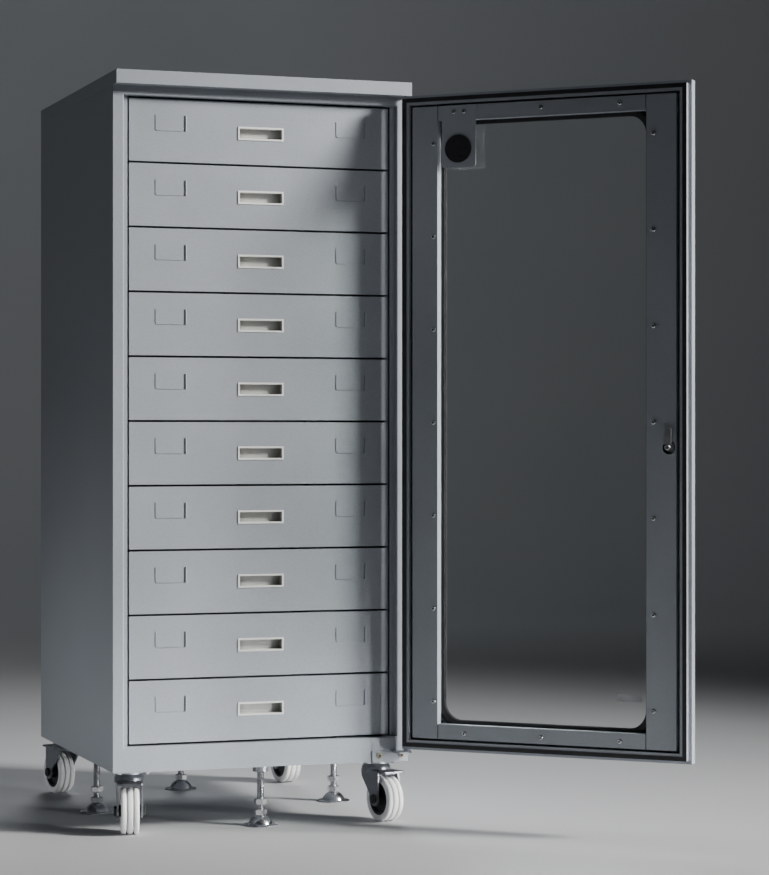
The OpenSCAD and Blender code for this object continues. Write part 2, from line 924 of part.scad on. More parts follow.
module tyre(i) {
    w = wheel_w / 2;
    r = wheel_r;
    shoulder = 3.5;
    color(tyre_white)
        at_caster(i)
            translate([0, -trail, wheel_r])
                rotate([0, 90, 0])
                    rotate_extrude()
                        difference() {
                            union() {
                                translate([core_r, -w])
                                    square([r - core_r - shoulder, wheel_w]);
                                translate([core_r, -w + shoulder])
                                    square([r - core_r, wheel_w - 2 * shoulder]);
                                for (s = [-1, 1])
                                    translate([r - shoulder, s * (w - shoulder)])
                                        circle(shoulder);
                            }
                            for (x = [-5.2, 5.2]) {
                                translate([r - 1.6, x - 1.1])
                                    square([3, 2.2]);
                                translate([r - 1.6, x])
                                    circle(1.1);
                            }
                        }
}

module core(i) {
    hub = leg_in - 1;
    color(rubber)
        at_caster(i)
            translate([0, -trail, wheel_r])
                rotate([0, 90, 0])
                    rotate_extrude()
                        polygon([[axle_r + running, -hub], [9, -hub], [10.5, -wheel_w / 2 + 4],
                            [core_r - 5, -wheel_w / 2 + 6], [core_r - 2.5, -wheel_w / 2 + 1],
                            [core_r, -wheel_w / 2 + 1], [core_r, wheel_w / 2 - 1],
                            [core_r - 2.5, wheel_w / 2 - 1], [core_r - 5, wheel_w / 2 - 6],
                            [10.5, wheel_w / 2 - 4], [9, hub], [axle_r + running, hub]]);
}

// Foot brake: the pedal turns on a pin between the fork's legs
module pedal(i) {
    knuckle = 16;
    tip_y = pedal_y - pedal_len;
    color(zinc)
        at_caster(i)
            difference() {
                union() {
                    rod_x(pedal_y, pedal_z, 4, -knuckle, knuckle);
                    box([-knuckle, tip_y + 12, pedal_z], [knuckle, pedal_y, pedal_z + 3]);
                    box([-pedal_w / 2, tip_y + 5, pedal_z], [pedal_w / 2, tip_y + 15, pedal_z + 3]);
                    box([-pedal_w / 2 + 5, tip_y, pedal_z], [pedal_w / 2 - 5, tip_y + 6, pedal_z + 3]);
                    for (s = [-1, 1])
                        translate([s * (pedal_w / 2 - 5), tip_y + 5, pedal_z])
                            cylinder(r = 5, h = 3);
                    box([-10, pedal_y - 14, pedal_z - 3.2], [10, pedal_y - 9, pedal_z + 1]);
                }
                rod_x(pedal_y, pedal_z, pedal_pin_r + running, -knuckle - 1, knuckle + 1);
            }
}

// ---------- levelling feet ----------

module foot(i) {
    color(zinc)
        translate([foot_pos[i][0], foot_pos[i][1], 0]) {
            rotate_extrude()
                intersection() {
                    square([pad_d / 2, dome_top]);
                    union() {
                        square([pad_d / 2 - 1.2, 2.4]);
                        translate([pad_d / 2 - 1.2, 1.2])
                            circle(1.2);
                        translate([0, -dome_drop])
                            circle(dome_r);
                    }
                }
            translate([0, 0, dome_top - 0.2])
                hex(hex_af, 9);
            translate([0, 0, 35])
                hex(hex_af, 9);
            translate([0, 0, 26])
                cylinder(r = rod_r, h = rod_top - 26);
        }
}

// ---------- nodes ----------

worktop();
left_side_panel();
right_side_panel();
back_panel();
front_frame();
base_pan();
fixed_runners();
hinge_plates();
caster_plates();
body_fasteners();
door_shell();
door_seal();
door_glass();
glass_gasket();
glass_retainers();
door_screws();
gauge_bracket();
gauge();
lock_barrel();
lock_cam();
for (n = [1:drawer_count]) {
    tag = str(n < 10 ? "0" : "", n);
    drawer(n);
    pull(n);
}
for (i = [0:3]) {
    fork(i);
    tyre(i);
    core(i);
    pedal(i);
    foot(i);
}
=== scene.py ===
import json
import math

import bmesh
import bpy
from mathutils import Matrix, Vector

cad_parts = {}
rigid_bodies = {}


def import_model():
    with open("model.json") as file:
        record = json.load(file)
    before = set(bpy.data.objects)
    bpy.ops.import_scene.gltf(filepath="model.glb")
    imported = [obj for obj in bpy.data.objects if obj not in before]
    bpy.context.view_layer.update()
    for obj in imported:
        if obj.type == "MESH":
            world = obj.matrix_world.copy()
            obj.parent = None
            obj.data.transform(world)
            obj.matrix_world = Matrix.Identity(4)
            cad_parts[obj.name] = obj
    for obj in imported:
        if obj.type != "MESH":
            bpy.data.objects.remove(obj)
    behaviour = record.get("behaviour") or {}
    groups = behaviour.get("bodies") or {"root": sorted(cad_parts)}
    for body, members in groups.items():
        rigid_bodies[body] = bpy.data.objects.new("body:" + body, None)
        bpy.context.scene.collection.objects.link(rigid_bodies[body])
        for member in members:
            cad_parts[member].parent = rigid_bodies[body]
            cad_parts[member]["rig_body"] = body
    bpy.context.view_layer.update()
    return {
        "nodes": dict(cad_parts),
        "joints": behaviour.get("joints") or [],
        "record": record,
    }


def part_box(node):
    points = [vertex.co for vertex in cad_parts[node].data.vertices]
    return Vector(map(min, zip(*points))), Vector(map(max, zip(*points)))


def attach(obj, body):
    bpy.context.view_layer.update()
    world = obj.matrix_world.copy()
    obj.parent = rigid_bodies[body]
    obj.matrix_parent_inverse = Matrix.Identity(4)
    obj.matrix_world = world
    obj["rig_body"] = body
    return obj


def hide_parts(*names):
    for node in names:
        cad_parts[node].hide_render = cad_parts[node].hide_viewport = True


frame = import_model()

nodes = frame["nodes"]
record = frame["record"]
joints = {joint["name"]: joint for joint in frame["joints"]}
node_slot = {part["node"]: part["material_slot"] for part in record["subparts"]}
body_of_node = {name: piece["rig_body"] for name, piece in nodes.items()}

MM = 0.001
CORNERS = ("front_left", "front_right", "rear_left", "rear_right")
FEET = ("front", "left", "right", "rear")
DRAWERS = [f"{number:02d}" for number in range(1, 11)]


# ---------- camera, floor and light ----------

def make_camera():
    data = bpy.data.cameras.new("camera")
    data.lens = 107.94
    data.sensor_width = 36
    data.shift_y = -0.0019
    camera = bpy.data.objects.new("camera", data)
    camera.location = (-1.2401, -4.3721, 0.6406)
    camera.rotation_euler = (math.radians(90), 0, math.radians(-19.49))
    bpy.context.scene.collection.objects.link(camera)
    bpy.context.scene.camera = camera


def add_area_light(name, place, target, size, power, colour=(1, 1, 1), mirrored=True,
                   spread=180):
    data = bpy.data.lights.new(name, "AREA")
    data.spread = math.radians(spread)
    data.shape = "RECTANGLE"
    data.size, data.size_y = size
    data.energy = power
    data.color = colour
    light = bpy.data.objects.new(name, data)
    light.location = place
    light.visible_glossy = mirrored
    direction = Vector(target) - Vector(place)
    light.rotation_euler = direction.to_track_quat("-Z", "Y").to_euler()
    bpy.context.scene.collection.objects.link(light)


def make_lights():
    world = bpy.data.worlds.new("studio")
    world.use_nodes = True
    background = world.node_tree.nodes["Background"]
    background.inputs["Color"].default_value = (0.80, 0.86, 0.95, 1)
    background.inputs["Strength"].default_value = 0.02
    bpy.context.scene.world = world
    add_area_light("key", (4.4, -3.25, 2.9), (0, -0.25, 0.6), (1.0, 1.0), 58,
                   colour=(1, 0.98, 0.95), spread=50)
    add_area_light("top", (0.45, 0.3, 3.6), (0.2, 0, 0.6), (1.4, 2.0), 3)
    add_area_light("low_left", (-1.2, 0.05, 0.08), (-0.25, -0.1, 0.16), (0.9, 0.12), 0.45,
                   colour=(0.94, 0.97, 1), mirrored=False, spread=60)
    add_area_light("low_right", (2.2, -2.5, 0.25), (0, -0.25, 0.04), (0.9, 0.15), 1.15, spread=14)
    add_area_light("corner_fill", (0.1, -4.0, 1.9), (0.17, -0.27, 1.08), (0.4, 0.4), 0.08,
                   mirrored=False, spread=12)
    add_area_light("rear", (1.4, 4.4, 2.6), (0.1, 0.2, 0.7), (1.6, 1.4), 13,
                   colour=(0.97, 0.98, 1), mirrored=False, spread=44)
    add_area_light("wall", (0.5, 3.6, 3.4), (0.8, 6.6, 1.8), (2.4, 1.2), 24,
                   colour=(0.95, 0.98, 1), mirrored=False)


def make_floor(material):
    """A round pale floor that curves up into a backdrop well away from the object."""
    flat, radius, height = 5.4, 1.8, 6.5
    profile = [(0.6, 0.0), (2.5, 0.0), (flat, 0.0)]
    steps = 16
    for step in range(1, steps + 1):
        angle = math.pi / 2 * step / steps
        profile.append((flat + radius * math.sin(angle), radius * (1 - math.cos(angle))))
    profile.append((flat + radius, height))
    sides = 96
    turns = [2 * math.pi * side / sides for side in range(sides)]
    points = [(r * math.cos(turn), r * math.sin(turn), z) for r, z in profile for turn in turns]
    faces = [list(range(sides))]
    for ring in range(len(profile) - 1):
        for side in range(sides):
            after = (side + 1) % sides
            low, high = ring * sides, (ring + 1) * sides
            faces.append((low + side, high + side, high + after, low + after))
    mesh = bpy.data.meshes.new("floor")
    mesh.from_pydata(points, [], faces)
    mesh.materials.append(material)
    for face in mesh.polygons:
        face.use_smooth = True
    floor = bpy.data.objects.new("floor", mesh)
    bpy.context.scene.collection.objects.link(floor)


# ---------- materials ----------

class Nodes:
    """Short ways to add the shader nodes that the materials below share."""

    def __init__(self, name):
        self.material = bpy.data.materials.new(name)
        self.material.use_nodes = True
        self.tree = self.material.node_tree
        self.tree.nodes.clear()
        self.output = self.add("OutputMaterial")
        self.shader = self.add("BsdfPrincipled")
        self.link(self.shader.outputs["BSDF"], self.output.inputs["Surface"])
        self.place = self.add("TexCoord").outputs["Object"]

    def add(self, kind, **settings):
        node = self.tree.nodes.new("ShaderNode" + kind)
        for key, value in settings.items():
            setattr(node, key, value)
        return node

    def link(self, start, end):
        self.tree.links.new(start, end)

    def set(self, **values):
        for key, value in values.items():
            self.shader.inputs[key.replace("_", " ")].default_value = value

    def noise(self, per_metre, detail=3.0, stretch=(1, 1, 1)):
        node = self.add("TexNoise")
        node.inputs["Scale"].default_value = per_metre
        node.inputs["Detail"].default_value = detail
        spread = self.add("Mapping")
        spread.inputs["Scale"].default_value = stretch
        self.link(self.place, spread.inputs["Vector"])
        self.link(spread.outputs["Vector"], node.inputs["Vector"])
        return node.outputs["Fac"]

    def ramp(self, value, stops):
        """Colours or greys along a value from 0 to 1."""
        node = self.add("ValToRGB")
        elements = node.color_ramp.elements
        while len(elements) < len(stops):
            elements.new(0.5)
        for element, (position, colour) in zip(elements, stops):
            element.position = position
            element.color = (*colour, 1) if len(colour) == 3 else colour
        self.link(value, node.inputs["Fac"])
        return node.outputs["Color"]

    def span(self, value, low, high, start=0.3, end=0.7):
        """A value that runs from low to high as the input runs from start to end."""
        node = self.add("MapRange")
        node.inputs["From Min"].default_value = start
        node.inputs["From Max"].default_value = end
        node.inputs["To Min"].default_value = low
        node.inputs["To Max"].default_value = high
        self.link(value, node.inputs["Value"])
        return node.outputs["Result"]

    def mix(self, amount, first, second):
        node = self.add("Mix", data_type="RGBA")
        self.link(amount, node.inputs["Factor"])
        for socket, value in ((node.inputs[6], first), (node.inputs[7], second)):
            if isinstance(value, tuple):
                socket.default_value = (*value, 1)
            else:
                self.link(value, socket)
        return node.outputs[2]

    def bump(self, height, strength, distance, normal=None):
        node = self.add("Bump")
        node.inputs["Strength"].default_value = strength
        node.inputs["Distance"].default_value = distance
        self.link(height, node.inputs["Height"])
        if normal is not None:
            self.link(normal, node.inputs["Normal"])
        self.link(node.outputs["Normal"], self.shader.inputs["Normal"])
        return node.outputs["Normal"]

    def edges(self, radius):
        """1 on the edges of the solid and 0 on its faces."""
        bevel = self.add("Bevel", samples=4)
        bevel.inputs["Radius"].default_value = radius
        normal = self.add("NewGeometry").outputs["Normal"]
        product = self.add("VectorMath", operation="DOT_PRODUCT")
        self.link(bevel.outputs["Normal"], product.inputs[0])
        self.link(normal, product.inputs[1])
        return self.span(product.outputs["Value"], 0.0, 1.0, 0.995, 0.88)

    def shaded_in_hollows(self, surface, hollow_shade, reach):
        """The surface's colour, turning to a painted shade colour in hollows about reach deep,
        taken from an ambient occlusion node.
        """
        hollow = self.add("AmbientOcclusion", samples=8)
        hollow.inputs["Distance"].default_value = reach
        return self.mix(self.span(hollow.outputs["AO"], 1.0, 0.0, 0.15, 0.95), surface, hollow_shade)


def shade(colour, factor):
    return tuple(channel * factor for channel in colour)


def powder_coat(name, colour):
    """Satin powder coat: a fine orange peel, faint mottling, and edges rubbed paler in places."""
    n = Nodes(name)
    grain = n.noise(900, 2)
    peel = n.noise(260, 2)
    cloud = n.noise(5, 4)
    base = n.ramp(cloud, [(0.3, shade(colour, 0.95)), (0.7, shade(colour, 1.04))])
    speckle = n.ramp(grain, [(0.35, (0.86, 0.86, 0.87)), (0.65, (1, 1, 1))])
    product = n.add("Mix", data_type="RGBA", blend_type="MULTIPLY")
    product.inputs["Factor"].default_value = 1.0
    n.link(base, product.inputs[6])
    n.link(speckle, product.inputs[7])
    patches = n.span(n.noise(55, 4), 0.0, 0.7, 0.45, 0.75)
    worn = n.add("Math", operation="MULTIPLY")
    n.link(n.edges(0.8 * MM), worn.inputs[0])
    n.link(patches, worn.inputs[1])
    n.link(n.mix(worn.outputs["Value"], product.outputs[2], shade(colour, 1.45)),
           n.shader.inputs["Base Color"])
    n.link(n.span(cloud, 0.38, 0.48), n.shader.inputs["Roughness"])
    first = n.bump(grain, 0.20, 0.0004)
    n.bump(peel, 0.12, 0.0008, first)
    n.set(Metallic=0.15)
    return n.material


def moulded_plastic(name, colour, roughness, hollow_shade=None):
    """Moulded plastic with a fine spark-eroded texture, and painted shade of a given colour in its
    hollows.
    """
    n = Nodes(name)
    grain = n.noise(1600, 2)
    cloud = n.noise(30, 3)
    surface = n.ramp(cloud, [(0.3, shade(colour, 0.94)), (0.7, shade(colour, 1.03))])
    # painted shade: hollows darken towards the given shade colour
    if hollow_shade:
        surface = n.shaded_in_hollows(surface, hollow_shade, 16 * MM)
    n.link(surface, n.shader.inputs["Base Color"])
    n.link(n.span(grain, roughness - 0.05, roughness + 0.06), n.shader.inputs["Roughness"])
    n.bump(grain, 0.12, 0.0003)
    return n.material


def rubber(name, colour, roughness, dust=0.25):
    """Matt rubber with a dusty bloom."""
    n = Nodes(name)
    grain = n.noise(2200, 2)
    bloom = n.noise(45, 5)
    dust_grey = 0.35
    dusty = tuple((1 - dust) * channel + dust * dust_grey for channel in colour)
    n.link(n.ramp(bloom, [(0.45, colour), (0.8, dusty)]), n.shader.inputs["Base Color"])
    n.link(n.span(bloom, roughness - 0.08, roughness + 0.08), n.shader.inputs["Roughness"])
    n.bump(grain, 0.25, 0.0003)
    return n.material


def plated_metal(name, colour, roughness, tint=(1, 1, 1), metallic=1.0, hollow_shade=None):
    """Zinc or nickel plate: cloudy reflections, a fine drawn grain, and painted shade in small
    hollows.
    """
    n = Nodes(name)
    cloud = n.noise(60, 4)
    drawn = n.noise(500, 3, (1, 1, 0.15))
    tinted = tuple(a * b for a, b in zip(colour, tint))
    surface = n.ramp(cloud, [(0.3, shade(colour, 0.82)), (0.7, tinted)])
    # painted shade: small hollows darken towards the given shade colour
    if hollow_shade:
        surface = n.shaded_in_hollows(surface, hollow_shade, 4 * MM)
    n.link(surface, n.shader.inputs["Base Color"])
    n.link(n.span(cloud, roughness - 0.07, roughness + 0.09), n.shader.inputs["Roughness"])
    n.bump(drawn, 0.10, 0.0002)
    n.set(Metallic=metallic)
    return n.material


def clear_glass(name):
    """Float glass: thin enough to pass straight light, with a faint green body and dust."""
    n = Nodes(name)
    dust = n.noise(35, 5)
    smear = n.noise(6, 3)
    n.link(n.span(dust, 0.00, 0.05, 0.5, 0.9), n.shader.inputs["Roughness"])
    n.link(n.ramp(smear, [(0.3, (0.97, 0.99, 0.985)), (0.7, (0.99, 1.0, 0.995))]),
           n.shader.inputs["Base Color"])
    n.set(IOR=1.45, Transmission_Weight=1.0)
    path = n.add("LightPath")
    clear = n.add("BsdfTransparent")
    clear.inputs["Color"].default_value = (0.93, 0.96, 0.95, 1)
    blend = n.add("MixShader")
    n.link(path.outputs["Is Shadow Ray"], blend.inputs["Fac"])
    n.link(n.shader.outputs["BSDF"], blend.inputs[1])
    n.link(clear.outputs["BSDF"], blend.inputs[2])
    n.link(blend.outputs["Shader"], n.output.inputs["Surface"])
    return n.material


def floor_material():
    n = Nodes("floor")
    cloud = n.noise(0.8, 5)
    n.link(n.ramp(cloud, [(0.3, (0.45, 0.46, 0.475)), (0.7, (0.49, 0.50, 0.51))]),
           n.shader.inputs["Base Color"])
    n.link(n.span(cloud, 0.72, 0.85), n.shader.inputs["Roughness"])
    n.set(Specular_IOR_Level=0.2)
    return n.material


MATERIALS = {
    "powder_coat": powder_coat("powder_coat", (0.385, 0.415, 0.455)),
    # The pull's pocket darkens to (0.17, 0.17, 0.155): painted shade in its hollow.
    "pull_plastic": moulded_plastic("pull_plastic", (0.86, 0.865, 0.85), 0.45,
                                    (0.17, 0.17, 0.155)),
    "rubber": rubber("rubber", (0.018, 0.018, 0.020), 0.62, 0.06),
    "glass": clear_glass("glass"),
    "zinc": plated_metal("zinc", (0.48, 0.50, 0.53), 0.42, (1, 1, 1.03), 0.75),
    "foot_steel": plated_metal("foot_steel", (0.88, 0.89, 0.91), 0.20),
    # The screws' sockets darken to (0.05, 0.045, 0.035): painted shade.
    "yellow_zinc": plated_metal("yellow_zinc", (0.86, 0.80, 0.60), 0.28, (1, 0.97, 0.9), 0.7,
                                (0.05, 0.045, 0.035)),
    "tyre_white": rubber("tyre_white", (0.92, 0.92, 0.92), 0.48, 0.08),
    "core_black": moulded_plastic("core_black", (0.028, 0.028, 0.030), 0.45),
    "gauge_black": moulded_plastic("gauge_black", (0.022, 0.022, 0.025), 0.50),
    # The screws' sockets darken to (0.06, 0.06, 0.065): painted shade.
    "screw_steel": plated_metal("screw_steel", (0.74, 0.75, 0.77), 0.16,
                                hollow_shade=(0.06, 0.06, 0.065)),
    "fork_steel": plated_metal("fork_steel", (0.36, 0.38, 0.41), 0.36, (1, 1, 1.03), 0.85),
    "pedal_steel": plated_metal("pedal_steel", (0.26, 0.27, 0.30), 0.30),
    "lock_metal": plated_metal("lock_metal", (0.50, 0.51, 0.53), 0.42),
}


# ---------- pieces made from the frame ----------

SMOOTH_ANGLE = math.radians(32)


def welded(node):
    work = bmesh.new()
    work.from_mesh(nodes[node].data)
    bmesh.ops.remove_doubles(work, verts=work.verts, dist=0.00002)
    return work


def solids_of(work):
    """The vertices of each separate solid."""
    left = set(work.verts)
    groups = []
    while left:
        group, edge = set(), [left.pop()]
        while edge:
            vertex = edge.pop()
            group.add(vertex)
            for link in vertex.link_edges:
                other = link.other_vert(vertex)
                if other in left:
                    left.discard(other)
                    edge.append(other)
        groups.append(list(group))
    return groups


def clean_copy(name, node, wanted=None):
    """The node's mesh as one welded surface of flat faces, or only its wanted solids."""
    work = welded(node)
    if wanted:
        unwanted = [vertex for group in solids_of(work) if not wanted(group) for vertex in group]
        bmesh.ops.delete(work, geom=unwanted, context="VERTS")
    bmesh.ops.dissolve_limit(work, angle_limit=math.radians(0.6), verts=work.verts,
                             edges=work.edges, delimit={"NORMAL"})
    mesh = bpy.data.meshes.new(name)
    work.to_mesh(mesh)
    work.free()
    piece = bpy.data.objects.new(name, mesh)
    bpy.context.scene.collection.objects.link(piece)
    return piece


def reach_of(points):
    """The lowest and highest corners of a set of points."""
    low = Vector([min(point[axis] for point in points) for axis in range(3)])
    high = Vector([max(point[axis] for point in points) for axis in range(3)])
    return low, high


def apply_modifiers(piece):
    bpy.context.view_layer.update()
    graph = bpy.context.evaluated_depsgraph_get()
    made = bpy.data.meshes.new_from_object(piece.evaluated_get(graph))
    piece.modifiers.clear()
    old = piece.data
    piece.data = made
    bpy.data.meshes.remove(old)


def roll_rim(piece, width):
    """Rolls over the edges inside the outline of the piece's front face."""
    low, high = reach_of([vertex.co for vertex in piece.data.vertices])
    near, inset = 0.05 * MM, 2 * MM
    weights = piece.data.attributes.new("bevel_weight_edge", "FLOAT", "EDGE")
    for edge in piece.data.edges:
        ends = [piece.data.vertices[index].co for index in edge.vertices]
        if all(end.y < low.y + near and low.x + inset < end.x < high.x - inset
               and low.z + inset < end.z < high.z - inset for end in ends):
            weights.data[edge.index].value = 1.0
    rim = piece.modifiers.new("rolled_rim", "BEVEL")
    rim.width = width
    rim.segments = 4
    rim.limit_method = "WEIGHT"
    rim.use_clamp_overlap = False


def soften(node, width, segments=2, wanted=None, finish=None, rim=None):
    """Stands for a CAD node, with its sharp edges rolled over as folded sheet's are."""
    slot = node_slot[node]
    piece = clean_copy(node + "_finish", node, wanted)
    if rim:
        roll_rim(piece, rim)
    bevel = piece.modifiers.new("rolled_edges", "BEVEL")
    bevel.width = width
    bevel.segments = segments
    bevel.limit_method = "ANGLE"
    bevel.angle_limit = math.radians(50)
    bevel.use_clamp_overlap = True
    piece.data.shade_smooth()
    weighted = piece.modifiers.new("flat_faces", "WEIGHTED_NORMAL")
    weighted.weight = 100
    weighted.keep_sharp = True
    apply_modifiers(piece)
    piece.data.materials.clear()
    piece.data.materials.append(MATERIALS[finish or slot])
    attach(piece, body_of_node[node])
    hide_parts(node)
    return piece


def finish_in_place(node):
    """Keeps a CAD node and gives it its material."""
    piece = nodes[node]
    piece.data.materials.clear()
    piece.data.materials.append(MATERIALS[node_slot[node]])


def add_piece(name, work, body, slot, replaced=(), finish=None):
    """Makes a piece from a bmesh, attaches it to its body, and gives it the material of its finish
    or else of its slot.
    """
    bmesh.ops.recalc_face_normals(work, faces=work.faces)
    mesh = bpy.data.meshes.new(name)
    work.to_mesh(mesh)
    work.free()
    mesh.materials.append(MATERIALS[finish or slot])
    mesh.shade_smooth()
    mesh.set_sharp_from_angle(angle=SMOOTH_ANGLE)
    piece = bpy.data.objects.new(name, mesh)
    bpy.context.scene.collection.objects.link(piece)
    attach(piece, body)
    if replaced:
        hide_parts(*replaced)
    return piece


def join_rings(work, rings, looped=False):
    """Faces from each ring of vertices to the next. The ends are closed unless it is looped."""
    count = len(rings[0])
    after_each = rings[1:] + (rings[:1] if looped else [])
    for low, high in zip(rings, after_each):
        for step in range(count):
            after = (step + 1) % count
            work.faces.new((low[step], low[after], high[after], high[step]))
    if not looped:
        work.faces.new(rings[0][::-1])
        work.faces.new(rings[-1])


def turned(work, heights, radius_at, steps, place):
    """Adds a closed solid about Z whose radius is radius_at(height, angle). place is a matrix."""
    rings = []
    for height in heights:
        ring = []
        for step in range(steps):
            angle = 2 * math.pi * step / steps
            radius = radius_at(height, angle)
            point = Vector((radius * math.cos(angle), radius * math.sin(angle), height))
            ring.append(work.verts.new(place @ point))
        rings.append(ring)
    join_rings(work, rings)


def profile_radius(profile):
    """The radius at a height along straight (height, radius) stretches."""
    def radius_at(height, angle):
        for (z0, r0), (z1, r1) in zip(profile, profile[1:]):
            if height <= z1:
                return r0 + (r1 - r0) * (height - z0) / (z1 - z0)
        return profile[-1][1]
    return radius_at


def lathe(work, profile, steps, place):
    """A turned solid from (height, radius) points in order of height."""
    turned(work, [height for height, _ in profile], profile_radius(profile), steps, place)


def off_the_flat(angle):
    """The angle from the middle of the nearest of a hexagon's six sides."""
    return (angle + math.pi / 6) % (math.pi / 3) - math.pi / 6


def hex_nut(work, across, low, high, place):
    """A hexagon with the corners of both ends turned off."""
    chamfer = 0.9 * MM
    start, slope = 0.98, 2.0

    def radius_at(height, angle):
        flat = across / 2 / math.cos(off_the_flat(angle))
        depth = min(height - low, high - height)
        return min(flat, across / 2 * start + depth * slope)
    levels = [low, low + chamfer / 3, low + chamfer * 2 / 3, low + chamfer,
              high - chamfer, high - chamfer * 2 / 3, high - chamfer / 3, high]
    turned(work, levels, radius_at, 60, place)


def thread(work, radius, pitch, low, high, place):
    """A rod with a helical thread that runs out at both ends."""
    depth, end_step = 0.55 * pitch, 0.4 * MM
    rings_per_turn = 6

    def radius_at(height, angle):
        turn = (height / pitch - angle / (2 * math.pi)) % 1.0
        end = min(height - low, high - height, pitch) / pitch
        return radius - depth * abs(2 * turn - 1) * end - end_step * (1 - end)
    count = int((high - low) / pitch * rings_per_turn)
    levels = [low + (high - low) * k / count for k in range(count + 1)]
    turned(work, levels, radius_at, 24, place)


# ---------- casters ----------

AXLE_HEAD_ACROSS = 13.5 * MM
AXLE_HEAD = 4.2 * MM
AXLE_PROUD = 0.2 * MM


def make_axle_heads(corner):
    """Black hexagon heads over the two ends of a wheel's axle."""
    middle, axis = wheel_axis(corner)
    fork = nodes["fork_" + corner].data
    reach = max(abs((vertex.co - middle).dot(axis)) for vertex in fork.vertices)
    work = bmesh.new()
    for side in (-1, 1):
        turn = (side * axis).to_track_quat("Z", "Y").to_matrix().to_4x4()
        place = Matrix.Translation(middle) @ turn
        end = reach + AXLE_PROUD
        hex_nut(work, AXLE_HEAD_ACROSS, end - AXLE_HEAD, end, place)
    add_piece("axle_heads_" + corner, work, "swivel_" + corner, "core_black")


TYRE_SHOULDER = 3.6 * MM
GROOVE_PLACE = 5.2 * MM
# Across and down from the top of a rib, in millimetres
GROOVE = [(-3.2, 0.0), (-2.1, 0.25), (-1.4, 0.6), (-1.0, 1.1), (-0.9, 3.0),
          (0.9, 3.0), (1.0, 1.1), (1.4, 0.6), (2.1, 0.25), (3.2, 0.0)]
# In from the tyre's side and out from its inner edge, in millimetres
BEAD = [(1.2, 0.0), (0.3, 1.0), (0.0, 2.2)]


def wheel_axis(corner):
    """A wheel's middle and its axis."""
    wheel = joints["wheel_" + corner]
    return Vector(wheel["pos_m"]), Vector(wheel["axis"]).normalized()


def make_tyre(corner):
    """A tyre with three rounded ribs between two grooves."""
    middle, axis = wheel_axis(corner)
    spots = [vertex.co - middle for vertex in nodes["tyre_" + corner].data.vertices]
    half = max(abs(spot.dot(axis)) for spot in spots)
    radii = [spot.cross(axis).length for spot in spots]
    inner, outer = min(radii), max(radii)
    side = [(-half + along * MM, inner + out * MM) for along, out in BEAD]
    arc_steps = 6
    for step in range(arc_steps + 1):
        angle = math.pi / 2 * step / arc_steps
        side.append((-half + TYRE_SHOULDER * (1 - math.cos(angle)),
                     outer - TYRE_SHOULDER * (1 - math.sin(angle))))
    outline = list(side)
    for place in (-GROOVE_PLACE, GROOVE_PLACE):
        outline += [(place + along * MM, outer - drop * MM) for along, drop in GROOVE]
    outline += [(-along, radius) for along, radius in reversed(side)]
    place = Matrix.Translation(middle) @ axis.to_track_quat("Z", "Y").to_matrix().to_4x4()
    work = bmesh.new()
    steps = 72
    rings = [[work.verts.new(place @ Matrix.Rotation(2 * math.pi * step / steps, 4, "Z")
                             @ Vector((radius, 0, along))) for step in range(steps)]
             for along, radius in outline]
    join_rings(work, rings, looped=True)
    add_piece(f"tyre_{corner}_finish", work, "wheel_" + corner, "tyre_white",
              ["tyre_" + corner])


# ---------- levelling feet ----------

PAD_RADIUS = 29 * MM
DOME_RADIUS = 21.4 * MM
DOME_DROP = 3.8 * MM
DOME_TOP = 17.4 * MM
DOME_FOOT = 3.2 * MM
# Height and distance in from the pad's rim, in millimetres
PAD_EDGE = [(0.0, 2.2), (0.5, 0.7), (1.2, 0.0), (1.9, 0.4), (2.4, 1.4)]
PAD_TOP = 2.6 * MM
ROD_RADIUS = 6 * MM
ROD_FOOT = 26.0 * MM
ROD_PITCH = 1.75 * MM
NUT_ACROSS = 19 * MM
# The socket's hexagon and the lock nut
NUT_LEVELS = [(17.2 * MM, 26.2 * MM), (35 * MM, 44 * MM)]


def make_foot(which):
    """A levelling foot: a pressed pad, a socket's hexagon, a lock nut and a threaded rod."""
    low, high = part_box("foot_" + which)
    place = Matrix.Translation(((low.x + high.x) / 2, (low.y + high.y) / 2, 0))
    work = bmesh.new()
    profile = [(height * MM, PAD_RADIUS - inset * MM) for height, inset in PAD_EDGE]
    profile.append((PAD_TOP, DOME_RADIUS + 0.6 * MM))
    steps = 14
    for step in range(steps + 1):
        height = DOME_FOOT + (DOME_TOP - DOME_FOOT) * step / steps
        profile.append((height, math.sqrt(DOME_RADIUS ** 2 - (height + DOME_DROP) ** 2)))
    lathe(work, profile, 64, place)
    for bottom, top in NUT_LEVELS:
        hex_nut(work, NUT_ACROSS, bottom, top, place)
    thread(work, ROD_RADIUS, ROD_PITCH, ROD_FOOT, high.z, place)
    add_piece(f"foot_{which}_finish", work, "foot_" + which, "foot_steel", ["foot_" + which])


# ---------- the door's small pieces ----------

hinge = joints["door_hinge"]
hinge_point = Vector(hinge["pos_m"])
open_angle = -math.radians(hinge["range_deg"][0])
turn_door = (Matrix.Translation(hinge_point) @ Matrix.Rotation(open_angle, 4, "Z")
             @ Matrix.Translation(-hinge_point))
FACE_IN = Matrix.Rotation(math.radians(-90), 4, "X")
FACE_OUT = Matrix.Rotation(math.radians(90), 4, "X")
hinge_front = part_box("front_frame")[0].y - 3 * MM


def behind_the_hinge(group):
    return min(vertex.co.y for vertex in group) > hinge_front


def shut_box(node):
    """The node's lowest and highest corners with the door shut."""
    shut = turn_door.inverted()
    return reach_of([shut @ vertex.co for vertex in nodes[node].data.vertices])


